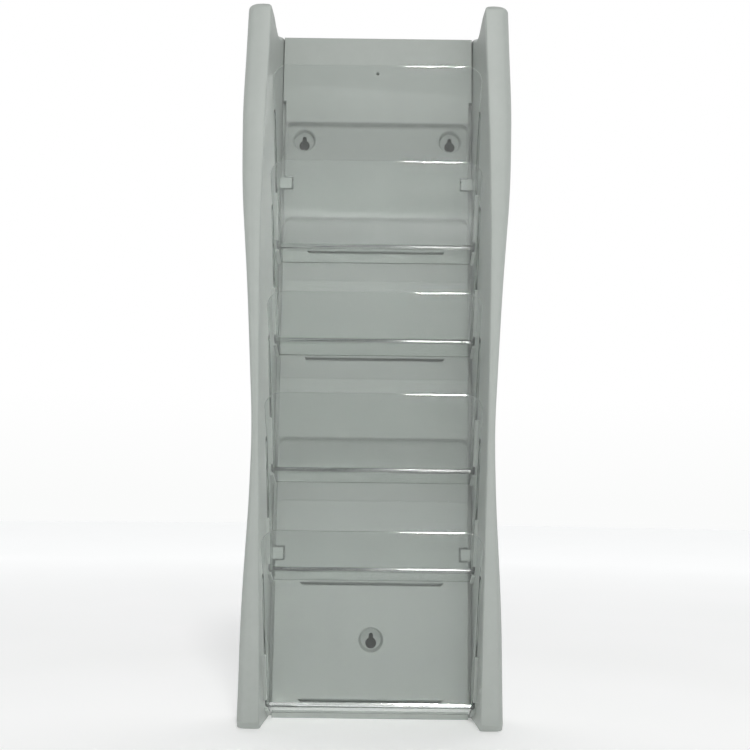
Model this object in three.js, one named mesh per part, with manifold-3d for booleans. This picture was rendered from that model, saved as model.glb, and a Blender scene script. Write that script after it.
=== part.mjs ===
// Wall or desk sorter for A4 leaflets: two hollow side panels, a back panel that hangs between them,
// and five clear pockets that lean forward and lift out along their own slope.
// Millimetres, +Z up. The front faces -Y, and the origin is under the middle of the whole outline.
import * as THREE from 'three';
import { mergeVertices } from 'three/addons/utils/BufferGeometryUtils.js';
import Module from 'manifold-3d';

const { smoothstep } = THREE.MathUtils;
const wasm = await Module();
wasm.setup();

// ---- Driving dimensions ----
const trayCount = 5;
const levelPitch = 125;
const lowestLevel = 19; // height of the lowest long slot in the back panel
const waistHeight = 763; // lowest point of the side panels' top edge, between the back and the rim
const backRise = { height: 14, from: 45, to: -10 }; // the top edge sweeps up to the back panel
const rimRise = { height: 7, from: 50, to: 85 }; // and up again to the front rim
const backHeight = waistHeight + backRise.height;

const wallGap = 12; // the back panel's face stands this far off the wall
const innerHalfWidth = 111.4; // between the side panels, at the back panel's face
const wallDraft = 0.0395; // the inner walls open towards the front
const panelWall = 2.5;
const topRounding = 5;
const footChamfer = { height: 8, depth: 6 };

// The side panel's shape up its height: depth in front of the back panel's face, and half width.
const rimDepths = [[0, 60], [47, 67], [109, 79], [170, 88.5], [231, 100], [291, 111.5], [351, 121.5],
  [411, 130], [457, 135], [504, 137.5], [550, 135.5], [600, 130.5], [650, 123], [707, 110], [770, 97]];
const outerHalfWidths = [[0, 138], [47, 136.5], [109, 134.5], [170, 131], [231, 126.5], [304, 123.5],
  [354, 125], [411, 127.5], [457, 130], [503, 133.5], [550, 137.5], [600, 139.5], [650, 141], [770, 141]];
const deepestRim = 137.5;
const backFaceY = (deepestRim - wallGap) / 2;

const backSheet = 2.5;
const channelWidth = 4.5; // open channel beside the back panel, below the shoulders
const shoulderHeight = 698.5;
const jointGap = 0.4;
const rearLipThickness = 2.5; // closes the channel at the wall
const longSlot = { halfLength: 79.3, height: 3.2, slant: 3, depth: 9, wall: 1.5 };
const ledges = [{ top: 670.5, fade: 70 }, { top: 556.5, fade: 36 }, { top: 302.5, fade: 32 }];
const ledge = { depth: 5, drop: 6, sideMargin: 3, corner: 9 };
const keyholes = [{ x: -85, z: 652.5 }, { x: 85, z: 652.5 }, { x: 0, z: 84 }];
const keyhole = { mouthRadius: 13, floorRadius: 10.5, floor: 2, hole: 12, drop: 4.5, slot: 4.8, reach: 8.5 };
const alignmentHole = { z: 733.5, diameter: 3.4, depth: 8, wall: 2 };
const ribHeights = [44, 116, 206, 334, 459, 604, 705];
const ribX = 92;
const ribThickness = 1.8;

const tongueHeights = [599.5, 177];
const tongue = { height: 13.8, tip: 97.5, thickness: 2.4, hook: 5.4, barb: 1.2, clearance: 0.8 };

const trayWall = 2;
const trayLean = THREE.MathUtils.degToRad(19.3);
const pane = { foot: 26.5, length: 197, corner: 17 };
const trayFloor = { rear: 0.75, drop: 12 };
const sideWallTop = 150; // measured up the pane
const sideWallRear = 25; // upright rear edge of a tray's side wall
const sideClearance = 1.1;
const footOffsets = [-2.5, 15.3, -2.5, 15.3, -1.4]; // pane foot above its level's slot, from the top
const rail = { reach: 3.6, thickness: 2.4, start: 8, length: 52, gap: 0.4 };
const boss = { forward: 60, rise: 24, radius: 2.6, reach: 0.7 };

// ---- Materials ----
const greyPlastic = new THREE.MeshStandardMaterial({ color: 0xb4bab5, roughness: 0.55, metalness: 0 });
const backPlastic = new THREE.MeshStandardMaterial({ color: 0xa3aaa4, roughness: 0.6, metalness: 0 });
const clearPlastic = new THREE.MeshStandardMaterial({
  color: 0xdfe6e2, roughness: 0.08, metalness: 0, transparent: true, opacity: 0.3,
});

// ---- Solids ----
function toSolid(geometry) {
  const bare = geometry.clone();
  bare.deleteAttribute('normal');
  bare.deleteAttribute('uv');
  const merged = mergeVertices(bare, 1e-4);
  const vertProperties = new Float32Array(merged.attributes.position.array);
  const triVerts = new Uint32Array(merged.index.array);
  return new wasm.Manifold(new wasm.Mesh({ numProp: 3, vertProperties, triVerts }));
}

function toGeometry(solid) {
  const mesh = solid.getMesh();
  const geometry = new THREE.BufferGeometry();
  geometry.setAttribute('position', new THREE.BufferAttribute(mesh.vertProperties, 3));
  geometry.setIndex(new THREE.BufferAttribute(mesh.triVerts, 1));
  geometry.computeVertexNormals();
  return geometry;
}

function namedMesh(name, solid, material) {
  const mesh = new THREE.Mesh(toGeometry(solid), material);
  mesh.name = name;
  return mesh;
}

// A box between two corners, given as x, forward distance from the back panel's face, and height.
function block([x0, f0, z0], [x1, f1, z1]) {
  const geometry = new THREE.BoxGeometry(Math.abs(x1 - x0), Math.abs(f1 - f0), Math.abs(z1 - z0));
  geometry.translate((x0 + x1) / 2, backFaceY - (f0 + f1) / 2, (z0 + z1) / 2);
  return toSolid(geometry);
}

// An outline of [forward, height] points, extruded sideways from x0 to x1.
function sideways(points, x0, x1) {
  const shape = new THREE.Shape(points.map(([forward, z]) => new THREE.Vector2(backFaceY - forward, z)));
  const geometry = new THREE.ExtrudeGeometry(shape, { depth: x1 - x0, bevelEnabled: false });
  const turn = new THREE.Matrix4().set(0, 0, 1, x0, 1, 0, 0, 0, 0, 1, 0, 0, 0, 0, 0, 1);
  return toSolid(geometry.applyMatrix4(turn));
}

// A shape drawn in x and height, extruded forward from f0 to f1.
function forwards(shape, f0, f1) {
  const geometry = new THREE.ExtrudeGeometry(shape, { depth: f1 - f0, bevelEnabled: false });
  const turn = new THREE.Matrix4().set(1, 0, 0, 0, 0, 0, -1, backFaceY - f0, 0, 1, 0, 0, 0, 0, 0, 1);
  return toSolid(geometry.applyMatrix4(turn));
}

// A round pin or hole along Y, tapering from the front radius to the rear radius.
function roundAlongY(x, z, frontRadius, rearRadius, f0, f1, segments = 24) {
  const geometry = new THREE.CylinderGeometry(rearRadius, frontRadius, f1 - f0, segments);
  geometry.translate(x, backFaceY - (f0 + f1) / 2, z);
  return toSolid(geometry);
}

// ---- Shape rules ----
function curveThrough(points) {
  const spline = new THREE.SplineCurve(points.map(([z, value]) => new THREE.Vector2(z, value)));
  const samples = spline.getPoints(points.length * 12);
  return (z) => {
    const next = samples.findIndex((sample) => sample.x >= z);
    if (next <= 0) return next === 0 ? samples[0].y : samples.at(-1).y;
    const [a, b] = [samples[next - 1], samples[next]];
    return THREE.MathUtils.lerp(a.y, b.y, (z - a.x) / (b.x - a.x));
  };
}

const rimDepth = curveThrough(rimDepths);
const outerHalfWidth = curveThrough(outerHalfWidths);
const narrowHalfWidth = innerHalfWidth - channelWidth;
const innerWallX = (forward) => innerHalfWidth + wallDraft * forward;
const sweep = ({ height, from, to }, forward) =>
  height * (to > from ? smoothstep(forward, from, to) : 1 - smoothstep(forward, to, from));
const topRise = (forward) => sweep(backRise, forward) + sweep(rimRise, forward);

function levelHeight(index) {
  return lowestLevel + (trayCount - 1 - index) * levelPitch;
}

// ---- Side panels ----
// One horizontal section of a side panel, walked from the wall, along the inside, round the rim, and back.
function panelSection(z, inset, skin) {
  const front = rimDepth(Math.min(z, waistHeight)) - inset - skin;
  const rear = -wallGap - (skin > 0 ? 1 : 0);
  const outer = outerHalfWidth(Math.min(z, waistHeight)) - inset - skin;
  const inner = (forward) => innerWallX(forward) + skin + inset * THREE.MathUtils.clamp(forward / 25, 0, 1);
  const crisp = 1;
  const rimWidth = outer - inner(front);
  const rounding = Math.min(9, rimWidth * 0.45);
  const points = [[inner(rear), rear], [inner(0), 0], [inner(front * 0.25), front * 0.25],
    [inner(front * 0.55), front * 0.55], [inner(front - crisp), front - crisp],
    [inner(front) + crisp, front]];
  for (let step = 0; step <= 5; step += 1) {
    const angle = (step / 5) * (Math.PI / 2);
    points.push([outer - rounding * (1 - Math.sin(angle)), front - rounding * (1 - Math.cos(angle))]);
  }
  points.push([outer, front * 0.55], [outer, front * 0.25], [outer, 0], [outer, rear]);
  return points;
}

// Joins matching points of stacked sections, and closes both ends with a strip from inside to outside.
function loft(sections) {
  const count = sections[0].length;
  const positions = sections.flat(2);
  const index = [];
  for (let level = 0; level < sections.length - 1; level += 1) {
    for (let k = 0; k < count; k += 1) {
      const next = (k + 1) % count;
      const [a, b] = [level * count + k, level * count + next];
      index.push(a, b, b + count, a, b + count, a + count);
    }
  }
  const last = (sections.length - 1) * count;
  for (let k = 0; k < count / 2 - 1; k += 1) {
    const [a, b, c, d] = [k, k + 1, count - 2 - k, count - 1 - k];
    index.push(a, c, b, a, d, c);
    index.push(last + a, last + b, last + c, last + a, last + c, last + d);
  }
  const geometry = new THREE.BufferGeometry();
  geometry.setAttribute('position', new THREE.Float32BufferAttribute(positions, 3));
  geometry.setIndex(index);
  return toSolid(geometry);
}

// The right-hand panel's full outer shape, or its hollow when skin is above zero.
function panelLoft(skin) {
  const heights = [];
  const levels = 30;
  const top = waistHeight - skin;
  const bottom = skin;
  const straightTop = Math.min(waistHeight - topRounding, top);
  for (let k = 0; k <= levels; k += 1) {
    heights.push({ z: THREE.MathUtils.lerp(bottom, straightTop, k / levels), inset: 0 });
  }
  if (skin === 0) {
    for (const step of [0.3, 0.55, 0.8, 1]) {
      const angle = (step * Math.PI) / 2;
      const inset = topRounding * (1 - Math.cos(angle));
      heights.push({ z: straightTop + topRounding * Math.sin(angle), inset });
    }
  }
  return loft(heights.map(({ z, inset }) => panelSection(z, inset, skin).map(([x, forward]) => {
    const blend = smoothstep(z, waistHeight - 70, waistHeight);
    return [x, backFaceY - forward, z + blend * topRise(forward)];
  })));
}

// Chamfer under the front of the foot, as a wedge to cut away.
function footCut() {
  const front = rimDepth(0);
  return sideways([
    [front - footChamfer.depth, -1], [front + 20, -1],
    [front + 20, footChamfer.height], [front + 1.2, footChamfer.height],
    [front - footChamfer.depth, 0],
  ], innerHalfWidth - 5, 160);
}

// Two slanted ribs that hold one tray: one in front of the pane, one under its floor.
function trayRails(index) {
  const footZ = levelHeight(index) + footOffsets[index];
  const along = (distance, out) => [
    pane.foot + distance * Math.sin(trayLean) + out * Math.cos(trayLean),
    footZ + distance * Math.cos(trayLean) - out * Math.sin(trayLean),
  ];
  const near = rail.gap;
  const far = rail.gap + rail.thickness;
  const upright = [along(rail.start, near), along(rail.start, far),
    along(rail.start + rail.length, far), along(rail.start + rail.length, near)];
  const slope = trayFloor.drop / (pane.foot - trayFloor.rear);
  const underFloor = (forward, down) => [forward, footZ - slope * (pane.foot - forward) - down];
  const shelf = [underFloor(3, near), underFloor(3, far + 0.2),
    underFloor(pane.foot - 3, far + 0.2), underFloor(pane.foot - 3, near)];
  const tipX = (forward) => innerWallX(forward) - rail.reach;
  const bandSolid = between(tipX, (forward) => innerWallX(forward) + 1);
  const ribs = sideways(upright, 95, 130);
  if (footZ - trayFloor.drop < far + 2) return ribs.intersect(bandSolid);
  return ribs.add(sideways(shelf, 95, 130)).intersect(bandSolid);
}

// The slab of space between two drafted upright planes on the right-hand side.
function between(nearX, farX) {
  const [rear, front] = [-wallGap, deepestRim];
  const shape = new THREE.Shape([
    new THREE.Vector2(nearX(rear), backFaceY - rear), new THREE.Vector2(farX(rear), backFaceY - rear),
    new THREE.Vector2(farX(front), backFaceY - front), new THREE.Vector2(nearX(front), backFaceY - front),
  ]);
  const geometry = new THREE.ExtrudeGeometry(shape, { depth: backHeight + 60, bevelEnabled: false });
  geometry.translate(0, 0, -30);
  return toSolid(geometry);
}

// A small round boss on the inner wall, above the rail of each tray.
function wallBoss(index) {
  const geometry = new THREE.CylinderGeometry(boss.radius, boss.radius, boss.reach + 1, 20);
  geometry.rotateZ(Math.PI / 2);
  const x = innerWallX(boss.forward) - boss.reach + (boss.reach + 1) / 2;
  geometry.translate(x, backFaceY - boss.forward, levelHeight(index) + boss.rise);
  return toSolid(geometry);
}

// A snap tongue that bridges the channel, lies flush in the back panel and hooks behind it.
function snapTongue(z) {
  const half = tongue.height / 2;
  const plate = block([tongue.tip, -tongue.thickness, z - half], [innerHalfWidth + 1, 0, z + half]);
  const hookEnd = -tongue.thickness - tongue.hook;
  const hook = block([tongue.tip, hookEnd, z - half + 2], [tongue.tip + 2, -1, z + half - 2]);
  const barbTip = tongue.tip - tongue.barb;
  const barb = block([barbTip, hookEnd, z - half + 2], [tongue.tip + 1, hookEnd + 1.6, z + half - 2]);
  return plate.add(hook).add(barb);
}

function rightPanel() {
  let panel = panelLoft(0).subtract(panelLoft(panelWall)).subtract(footCut());
  for (let index = 0; index < trayCount; index += 1) {
    panel = panel.add(trayRails(index)).add(wallBoss(index));
  }
  for (const z of tongueHeights) panel = panel.add(snapTongue(z));
  const lipStart = [narrowHalfWidth + jointGap, -wallGap, 0];
  const lipEnd = [innerHalfWidth + 1, -wallGap + rearLipThickness, shoulderHeight - jointGap];
  return panel.add(block(lipStart, lipEnd));
}

// ---- Back panel ----
// How far the face lies behind its nominal plane: a soft step under each ledge that fades downwards.
function faceDepth(x, z) {
  const edge = narrowHalfWidth - ledge.sideMargin - Math.abs(x);
  const round = THREE.MathUtils.clamp(ledge.corner - edge, 0, ledge.corner);
  const sag = ledge.corner - Math.sqrt(ledge.corner ** 2 - round ** 2);
  let depth = 0;
  for (const { top, fade } of ledges) {
    const below = top + ledge.drop / 2 - sag - z;
    const step = smoothstep(below, 0, ledge.drop);
    depth = Math.max(depth, ledge.depth * step * (1 - smoothstep(below, ledge.drop, fade)));
  }
  return depth * smoothstep(edge, -ledge.sideMargin, 2);
}

// The sheet itself: a front grid that follows the face and a parallel rear grid.
function backSheetSolid(halfWidth, bottom, top) {
  const columns = [0, 0.45, 0.8, 0.87, 0.91, 0.94, 0.97, 1];
  const xs = [...columns.slice(1).reverse().map((part) => -part), ...columns].map((part) => part * halfWidth);
  const zs = new Set([bottom, top]);
  for (const { top: edge, fade } of ledges) {
    const belowStep = [-7, -10, -13, -fade * 0.55, -fade * 0.8, -fade];
    for (const offset of [4, 2, 0, -2, -4, ...belowStep]) zs.add(edge + offset);
  }
  const rows = [...zs].filter((z) => z >= bottom && z <= top).sort((a, b) => a - b);
  const positions = [];
  for (const offset of [0, backSheet]) {
    for (const z of rows) for (const x of xs) positions.push(x, backFaceY + offset + faceDepth(x, z), z);
  }
  const index = [];
  const width = xs.length;
  const layer = rows.length * width;
  const quad = (a, b, c, d) => index.push(a, b, c, a, c, d);
  for (let r = 0; r < rows.length - 1; r += 1) {
    for (let c = 0; c < width - 1; c += 1) {
      const a = r * width + c;
      quad(a, a + 1, a + 1 + width, a + width);
      quad(layer + a, layer + a + width, layer + a + 1 + width, layer + a + 1);
    }
  }
  for (let c = 0; c < width - 1; c += 1) {
    const last = (rows.length - 1) * width + c;
    quad(c, layer + c, layer + c + 1, c + 1);
    quad(last, last + 1, layer + last + 1, layer + last);
  }
  for (let r = 0; r < rows.length - 1; r += 1) {
    const [left, right] = [r * width, r * width + width - 1];
    quad(left, left + width, layer + left + width, layer + left);
    quad(right, layer + right, layer + right + width, right + width);
  }
  const geometry = new THREE.BufferGeometry();
  geometry.setAttribute('position', new THREE.Float32BufferAttribute(positions, 3));
  geometry.setIndex(index);
  return toSolid(geometry);
}

// Return flanges and ribs behind the sheet, down to the wall plane.
function backFrame() {
  const rear = -wallGap;
  const wide = innerHalfWidth - jointGap - 0.5;
  let frame = block([-wide, rear, backHeight - backSheet], [wide, -1, backHeight]);
  frame = frame.add(block([-narrowHalfWidth, rear, 0], [narrowHalfWidth, -1, backSheet]));
  frame = frame.add(block([-wide, rear, shoulderHeight], [wide, -1, shoulderHeight + backSheet]));
  for (const side of [-1, 1]) {
    const outer = side * narrowHalfWidth;
    frame = frame.add(block([outer, rear, 0], [outer - side * backSheet, -1, shoulderHeight + 1]));
    const top = side * wide;
    frame = frame.add(block([top, rear, shoulderHeight], [top - side * backSheet, -1, backHeight]));
    const [ribNear, ribFar] = [side * (ribX - ribThickness / 2), side * (ribX + ribThickness / 2)];
    frame = frame.add(block([ribNear, rear, 1], [ribFar, -1, backHeight - 1]));
  }
  for (const z of ribHeights) {
    frame = frame.add(block([-narrowHalfWidth + 1, rear, z], [narrowHalfWidth - 1, -1, z + ribThickness]));
  }
  return frame;
}

function keyholeCut({ x, z }) {
  const cupFloor = -wallGap + keyhole.floor;
  const cup = roundAlongY(x, z, keyhole.mouthRadius + 0.3, keyhole.floorRadius, cupFloor, 0.3);
  const holeZ = z - keyhole.drop;
  const hole = roundAlongY(x, holeZ, keyhole.hole / 2, keyhole.hole / 2, -wallGap - 1, 0);
  const slotTop = holeZ + keyhole.reach;
  const half = keyhole.slot / 2;
  const slot = block([x - half, -wallGap - 1, holeZ], [x + half, -1, slotTop]);
  const slotEnd = roundAlongY(x, slotTop, half, half, -wallGap - 1, -1, 16);
  return cup.add(hole).add(slot).add(slotEnd);
}

// A long slot is a deep groove with slanted ends, closed at the back by a trough behind the sheet.
function longSlotShape(z, extra) {
  const half = longSlot.halfLength + extra;
  const rise = longSlot.height / 2 + extra;
  return new THREE.Shape([
    new THREE.Vector2(-half, z + rise), new THREE.Vector2(-half + longSlot.slant, z - rise),
    new THREE.Vector2(half - longSlot.slant, z - rise), new THREE.Vector2(half, z + rise),
  ]);
}

function longSlotTrough(z) {
  return forwards(longSlotShape(z, longSlot.wall), -longSlot.depth - longSlot.wall, -1);
}

function longSlotCut(z) {
  return forwards(longSlotShape(z, 0), -longSlot.depth, 1);
}

// The pocket that a tongue lies in, cut through the sheet, with a window for its hook.
function tongueSeat(side, z) {
  const half = tongue.height / 2 + 3.5;
  const edge = side * narrowHalfWidth;
  return block([side * (tongue.tip - 5), -backSheet - 4, z - half], [edge - side * 0.2, -1, z + half]);
}

function tongueCut(side, z) {
  const half = tongue.height / 2 + tongue.clearance;
  const tip = side * (tongue.tip - tongue.clearance);
  const seat = block([tip, -tongue.thickness - jointGap, z - half], [side * 125, 1, z + half]);
  const windowInner = side * (tongue.tip - tongue.barb - tongue.clearance);
  const windowOuter = side * (tongue.tip + 2 + tongue.clearance);
  const windowHalf = half - 2;
  return seat.add(block([windowInner, -wallGap + 0.5, z - windowHalf], [windowOuter, -1, z + windowHalf]));
}

function backPanel() {
  const wide = innerHalfWidth - jointGap - 0.5;
  let panel = backSheetSolid(narrowHalfWidth, 0, backHeight - 1);
  panel = panel.add(block([-wide, -backSheet, shoulderHeight], [wide, 0, backHeight]));
  panel = panel.add(backFrame());
  for (const { x, z } of keyholes) {
    const front = -faceDepth(x, z - keyhole.mouthRadius) - backSheet * 0.8;
    panel = panel.add(roundAlongY(x, z, keyhole.mouthRadius + 2, keyhole.floorRadius + 2, -wallGap, front));
  }
  for (const side of [-1, 1]) {
    for (const z of tongueHeights) panel = panel.add(tongueSeat(side, z));
  }
  const pinRadius = alignmentHole.diameter / 2;
  const { depth: pinDepth, wall: pinWall, z: pinZ } = alignmentHole;
  panel = panel.add(roundAlongY(0, pinZ, pinRadius + pinWall, pinRadius + pinWall, -pinDepth - pinWall, -1));
  for (const place of keyholes) panel = panel.subtract(keyholeCut(place));
  for (let index = 0; index < trayCount; index += 1) {
    const z = levelHeight(index);
    panel = panel.add(longSlotTrough(z)).subtract(longSlotCut(z));
  }
  for (const side of [-1, 1]) {
    for (const z of tongueHeights) panel = panel.subtract(tongueCut(side, z));
  }
  return panel.subtract(roundAlongY(0, pinZ, pinRadius, pinRadius, -pinDepth, 1, 16));
}

// ---- Trays ----
// One pocket, drawn with the foot of its pane at forward distance pane.foot and height footZ.
function tray(index) {
  const footZ = levelHeight(index) + footOffsets[index];
  const up = [Math.sin(trayLean), Math.cos(trayLean)];
  const out = [Math.cos(trayLean), -Math.sin(trayLean)];
  const place = (along, front) => [
    pane.foot + along * up[0] + front * out[0], footZ + along * up[1] + front * out[1]];
  const floorRear = [trayFloor.rear, footZ - trayFloor.drop];
  const paneTop = pane.length;
  const outline = [place(0, 0), place(paneTop, 0), place(paneTop, -trayWall),
    place(sideWallTop, -trayWall), [trayFloor.rear, floorRear[1] + sideWallRear], floorRear];
  const fall = Math.atan2(trayFloor.drop, pane.foot - trayFloor.rear);
  const innerFoot = (trayWall * (1 - Math.sin(trayLean + fall))) / Math.cos(trayLean + fall);
  const beyond = 30;
  const innerFloorZ = floorRear[1] - beyond * Math.tan(fall) + trayWall / Math.cos(fall);
  const hollow = [place(innerFoot, -trayWall), place(paneTop + 5, -trayWall),
    [trayFloor.rear - beyond, footZ + paneTop], [trayFloor.rear - beyond, innerFloorZ]];
  const outerWall = (forward) => innerWallX(forward) - sideClearance;
  const span = 2 * innerHalfWidth;
  const full = sideways(outline, -span, span).intersect(between((forward) => -outerWall(forward), outerWall));
  const innerSide = (forward) => outerWall(forward) - trayWall;
  const space = sideways(hollow, -span, span).intersect(between((forward) => -innerSide(forward), innerSide));
  return full.subtract(space).subtract(paneCorners(footZ, place));
}

// What is cut away to round both top corners of a pane.
function paneCorners(footZ, place) {
  const radius = pane.corner;
  const [topForward] = place(pane.length, 0);
  const halfWidth = innerWallX(topForward) - sideClearance;
  const geometries = [-1, 1].map((side) => {
    const shape = new THREE.Shape();
    shape.moveTo(side * (halfWidth - radius), pane.length);
    shape.absarc(side * (halfWidth - radius), pane.length - radius, radius,
      Math.PI / 2, side > 0 ? 0 : Math.PI, side > 0);
    shape.lineTo(side * (halfWidth + 5), pane.length - radius);
    shape.lineTo(side * (halfWidth + 5), pane.length + 5);
    shape.lineTo(side * (halfWidth - radius), pane.length + 5);
    const geometry = new THREE.ExtrudeGeometry(shape, { depth: 12, bevelEnabled: false, curveSegments: 8 });
    const turn = new THREE.Matrix4().makeBasis(
      new THREE.Vector3(1, 0, 0),
      new THREE.Vector3(0, -Math.sin(trayLean), Math.cos(trayLean)),
      new THREE.Vector3(0, -Math.cos(trayLean), -Math.sin(trayLean)),
    );
    turn.setPosition(0, backFaceY - pane.foot, footZ);
    geometry.translate(0, 0, -6);
    return toSolid(geometry.applyMatrix4(turn));
  });
  return geometries[0].add(geometries[1]);
}

// ---- Assembly ----
const sorter = new THREE.Group();
const panel = rightPanel();
sorter.add(namedMesh('back_panel', backPanel(), backPlastic));
sorter.add(namedMesh('right_side_panel', panel, greyPlastic));
sorter.add(namedMesh('left_side_panel', panel.mirror([1, 0, 0]), greyPlastic));
for (let index = 0; index < trayCount; index += 1) {
  sorter.add(namedMesh(`tray_${index + 1}`, tray(index), clearPlastic));
}

export default sorter;
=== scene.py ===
import math

import bmesh
import bpy
import numpy as np
from mathutils import Matrix, Vector
from mathutils.bvhtree import BVHTree


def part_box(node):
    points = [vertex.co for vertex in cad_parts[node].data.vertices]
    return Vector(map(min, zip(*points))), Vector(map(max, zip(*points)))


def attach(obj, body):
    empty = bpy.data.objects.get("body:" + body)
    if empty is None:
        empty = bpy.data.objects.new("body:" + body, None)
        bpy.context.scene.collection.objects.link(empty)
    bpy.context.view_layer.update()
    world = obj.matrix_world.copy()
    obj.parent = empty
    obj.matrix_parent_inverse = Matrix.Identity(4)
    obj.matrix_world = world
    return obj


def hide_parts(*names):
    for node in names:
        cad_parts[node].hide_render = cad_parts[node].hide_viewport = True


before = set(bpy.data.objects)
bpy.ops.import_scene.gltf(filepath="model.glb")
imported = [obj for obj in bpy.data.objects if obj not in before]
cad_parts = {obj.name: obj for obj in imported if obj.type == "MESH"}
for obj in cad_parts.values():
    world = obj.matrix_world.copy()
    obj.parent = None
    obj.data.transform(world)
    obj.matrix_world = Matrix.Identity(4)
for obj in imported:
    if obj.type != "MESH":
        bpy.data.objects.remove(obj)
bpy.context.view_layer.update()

# ---- Sizes, in millimetres unless the line says otherwise ----
# x is across, z is the height above the floor, and w is the distance in front of the back panel's
# face, so it is negative behind that face.
MM = 0.001
BACK_LOW, BACK_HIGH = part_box("back_panel")
FACE_Y = BACK_LOW.y
WALL_GAP = (BACK_HIGH.y - FACE_Y) / MM
BACK_TOP = BACK_HIGH.z / MM
BACK_WIDE = BACK_HIGH.x / MM
PANEL_WALL, SHEET, TRAY_WALL, CUP_WALL, SLOT_WALL, PIN_WALL = 2.5, 2.5, 2.0, 1.7, 1.5, 2.0

# Half the room between the side panels' inner walls at w = 0, and its growth with w.
INNER_HALF, WALL_DRAFT = 111.4, 0.0395
# The lowest part of the side panels' top edge, and its rise at the wall and at the rim.
WAIST_TOP, BACK_RISE, RIM_RISE = 763.0, 14.0, 7.0
RIM_OUTER_RADIUS, RIM_INNER_RADIUS, RIM_CROWN, TOP_RADIUS = 9.0, 1.7, 0.4, 7.5
# The chamfer that cuts back the foot of the rim: how far, and its slope.
FOOT_CHAMFER, CHAMFER_SLOPE = 6.0, 0.9

# Half the sheet's width below its shoulders, and the shoulders' height.
NARROW_HALF, SHOULDER = 106.9, 698.5
FLANGE, TOP_FLANGE = 1.8, 2.5
# The ledges across the sheet: top, distance over which the recess fades out below it, recess.
LEDGES = [(670.5, 70.0, 4.6), (556.5, 42.0, 3.8), (302.5, 38.0, 3.8)]
# How strongly painted shade darkens the colour below each ledge; the same masks matte the surface
# there as dust.
LEDGE_SHADE_AND_DUST = (0.35, 0.85, 0.55)
# The five long slots.
LEVELS = [519.0, 394.0, 269.0, 144.0, 19.0]
SLOT_HALF, SLOT_RISE, SLOT_DEPTH = 79.3, 1.6, 9.0
PIN_HEIGHT, PIN_RADIUS, PIN_DEPTH = 733.5, 1.7, 8.0
KEYHOLES = [(-85.0, 652.5), (85.0, 652.5), (0.0, 84.0)]
CUP_RADIUS = 14.2
# The side panels' snap tongues, and the notches in the sheet that they lie in.
TONGUES = [599.5, 177.0]
TONGUE_TIP, TONGUE_HALF = 98.1, 6.2
NOTCH_TIP, NOTCH = 96.5, 7.9

# Trays: height of each bend above its slot, and the pane's lean from the upright.
FOOT_OFFSETS = [-2.5, 15.3, -2.5, 15.3, -1.4]
LEAN = math.radians(19.3)
BEND_W = 26.5
PANE_LENGTH, PANE_CORNER = 197.0, 17.0
FLOOR_REAR, FLOOR_FALL, RAIL_SLOPE = 1.5, 12.0, 12.0 / 25.75
TRAYS = [f"tray_{k}" for k in range(1, 6)]


def place(x, w, z):
    """The point in the frame, in metres, at x, w and z in millimetres."""
    return Vector((x * MM, FACE_Y - w * MM, z * MM))


def inner_wall(w):
    """Half the room between the side panels' inner walls at w."""
    return INNER_HALF + WALL_DRAFT * w


def bend_height(index):
    return LEVELS[index] + FOOT_OFFSETS[index]


def smoothstep(v, low, high):
    t = np.clip((v - low) / (high - low), 0, 1)
    return t * t * (3 - 2 * t)


def quarter(steps):
    """Angles from 0 to a right angle."""
    return np.linspace(0, math.pi / 2, steps)


def around(steps, start=0.0):
    """Angles of one full turn."""
    return np.linspace(start, start + 2 * math.pi, steps, endpoint=False)


# ---- Mesh helpers ----
SHARP = 38.0


def shade_smooth(mesh, sharp):
    """Smooth shading, except across edges sharper than the angle in degrees."""
    mesh.polygons.foreach_set("use_smooth", [True] * len(mesh.polygons))
    mesh.set_sharp_from_angle(angle=math.radians(sharp))


def finished(name, bm, materials, sharp=SHARP):
    """A linked object made from a bmesh."""
    bm.normal_update()
    mesh = bpy.data.meshes.new(name)
    bm.to_mesh(mesh)
    bm.free()
    for material in materials:
        mesh.materials.append(material)
    obj = bpy.data.objects.new(name, mesh)
    bpy.context.scene.collection.objects.link(obj)
    shade_smooth(mesh, sharp)
    return obj


def settle(obj, sharp=SHARP, weighted=True):
    """Applies the modifiers, marks the sharp edges and evens the normals of flat faces."""
    bpy.context.view_layer.update()
    graph = bpy.context.evaluated_depsgraph_get()
    mesh = bpy.data.meshes.new_from_object(obj.evaluated_get(graph))
    obj.modifiers.clear()
    obj.data = mesh
    shade_smooth(mesh, sharp)
    if weighted:
        even = obj.modifiers.new("even_normals", "WEIGHTED_NORMAL")
        even.keep_sharp = True
    return obj


def thicken(obj, thickness, rim_material=0):
    """Gives a surface its wall, behind the side its normals point to."""
    solid = obj.modifiers.new("wall", "SOLIDIFY")
    solid.thickness = thickness * MM
    solid.offset = -1
    solid.use_even_offset = True
    solid.use_quality_normals = True
    solid.material_offset_rim = rim_material
    return solid


def soften(obj, width, angle, segments=2):
    """Rounds the edges sharper than the angle in degrees."""
    bevel = obj.modifiers.new("soft_edges", "BEVEL")
    bevel.width = width * MM
    bevel.segments = segments
    bevel.limit_method = "ANGLE"
    bevel.angle_limit = math.radians(angle)
    bevel.use_clamp_overlap = True
    return bevel


def softened(name, bm, material, width, segments=2):
    """A finished piece of ribs and bars with its edges rounded."""
    obj = finished(name, bm, [material])
    soften(obj, width, 40, segments)
    return settle(obj)


def skin(bm, loops):
    """Quads between neighbouring closed loops of vertices."""
    faces = []
    for outer, inner in zip(loops, loops[1:]):
        for k in range(len(outer)):
            n = (k + 1) % len(outer)
            faces.append(bm.faces.new((outer[k], outer[n], inner[n], inner[k])))
    return faces


def prism(bm, *rings):
    """A closed body through matching rings of points."""
    loops = [[bm.verts.new(p) for p in ring] for ring in rings]
    ends = [bm.faces.new(loops[0]), bm.faces.new(list(reversed(loops[-1])))]
    bmesh.ops.recalc_face_normals(bm, faces=ends + skin(bm, loops))


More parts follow.
